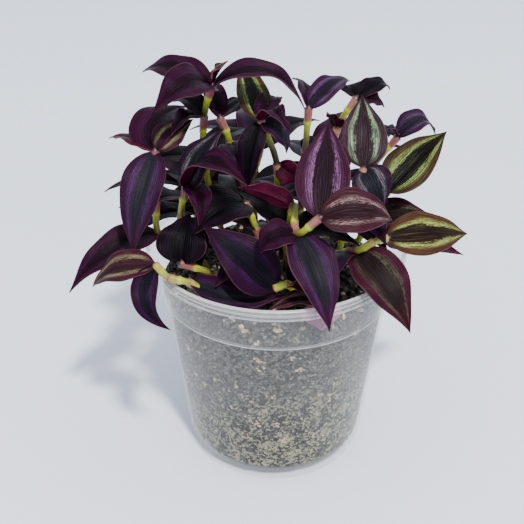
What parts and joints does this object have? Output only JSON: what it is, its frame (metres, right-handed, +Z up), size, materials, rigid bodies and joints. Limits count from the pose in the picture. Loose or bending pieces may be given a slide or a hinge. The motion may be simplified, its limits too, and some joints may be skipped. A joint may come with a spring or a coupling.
{
  "type": "potted tradescantia",
  "caption": "Bushy striped-leaf tradescantia with dark purple leaves, growing in a clear round plastic nursery pot filled with potting mix.",
  "frame": {"origin": "centre of the bounding box of pot and foliage together, at the level that the pot's foot stands on", "axes": "+Z up; -Y towards the side where the largest leaves hang over the rim; +X to the right when seen from there"},
  "size_m": [0.1814, 0.1598, 0.1954],
  "materials": {
    "clear_pot": "translucent, slightly milky",
    "potting_mix": "moist and granular",
    "foliage": "satin, striped lengthwise"
  },
  "bodies": {
    "root": {"pot": "clear_pot", "potting_mix": "potting_mix", "leafy_stem_a": "foliage", "leafy_stem_b": "foliage", "leafy_stem_c": "foliage", "leafy_stem_d": "foliage", "leafy_stem_e": "foliage", "leafy_stem_f": "foliage", "leafy_stem_g": "foliage", "leafy_stem_h": "foliage", "leafy_stem_i": "foliage", "leafy_stem_j": "foliage", "leafy_stem_k": "foliage", "leafy_stem_l": "foliage", "leafy_stem_m": "foliage", "leafy_stem_n": "foliage", "leafy_stem_o": "foliage", "leafy_stem_p": "foliage", "leafy_stem_q": "foliage", "leafy_stem_r": "foliage", "leafy_stem_s": "foliage", "leafy_stem_t": "foliage"}
  },
  "joints": []
}
